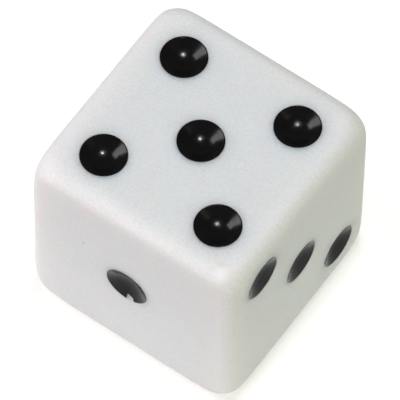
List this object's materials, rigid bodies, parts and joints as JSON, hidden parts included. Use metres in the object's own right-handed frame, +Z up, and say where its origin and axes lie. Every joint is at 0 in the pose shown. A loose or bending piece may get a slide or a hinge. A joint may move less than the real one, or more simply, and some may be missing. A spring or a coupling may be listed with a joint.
{
  "type": "giant yard die",
  "caption": "Large white plastic lawn die: hollow moulded cube with rounded edges and corners, a let-in base cover, and conical black pip cups set in every face.",
  "frame": {"origin": "middle of the outer face with two pips, which the die rests on", "axes": "+Z up through the face with five pips, -Y through the face with one, +X through the face with three"},
  "size_m": [0.0888, 0.0888, 0.0889],
  "materials": {
    "body": "white, satin gloss",
    "pip": "black, high gloss"
  },
  "bodies": {
    "root": {"body_shell": "body", "base_cover": "body", "pip_one_1": "pip", "pip_two_1": "pip", "pip_two_2": "pip", "pip_three_1": "pip", "pip_three_2": "pip", "pip_three_3": "pip", "pip_four_1": "pip", "pip_four_2": "pip", "pip_four_3": "pip", "pip_four_4": "pip", "pip_five_1": "pip", "pip_five_2": "pip", "pip_five_3": "pip", "pip_five_4": "pip", "pip_five_5": "pip", "pip_six_1": "pip", "pip_six_2": "pip", "pip_six_3": "pip", "pip_six_4": "pip", "pip_six_5": "pip", "pip_six_6": "pip"}
  },
  "joints": []
}
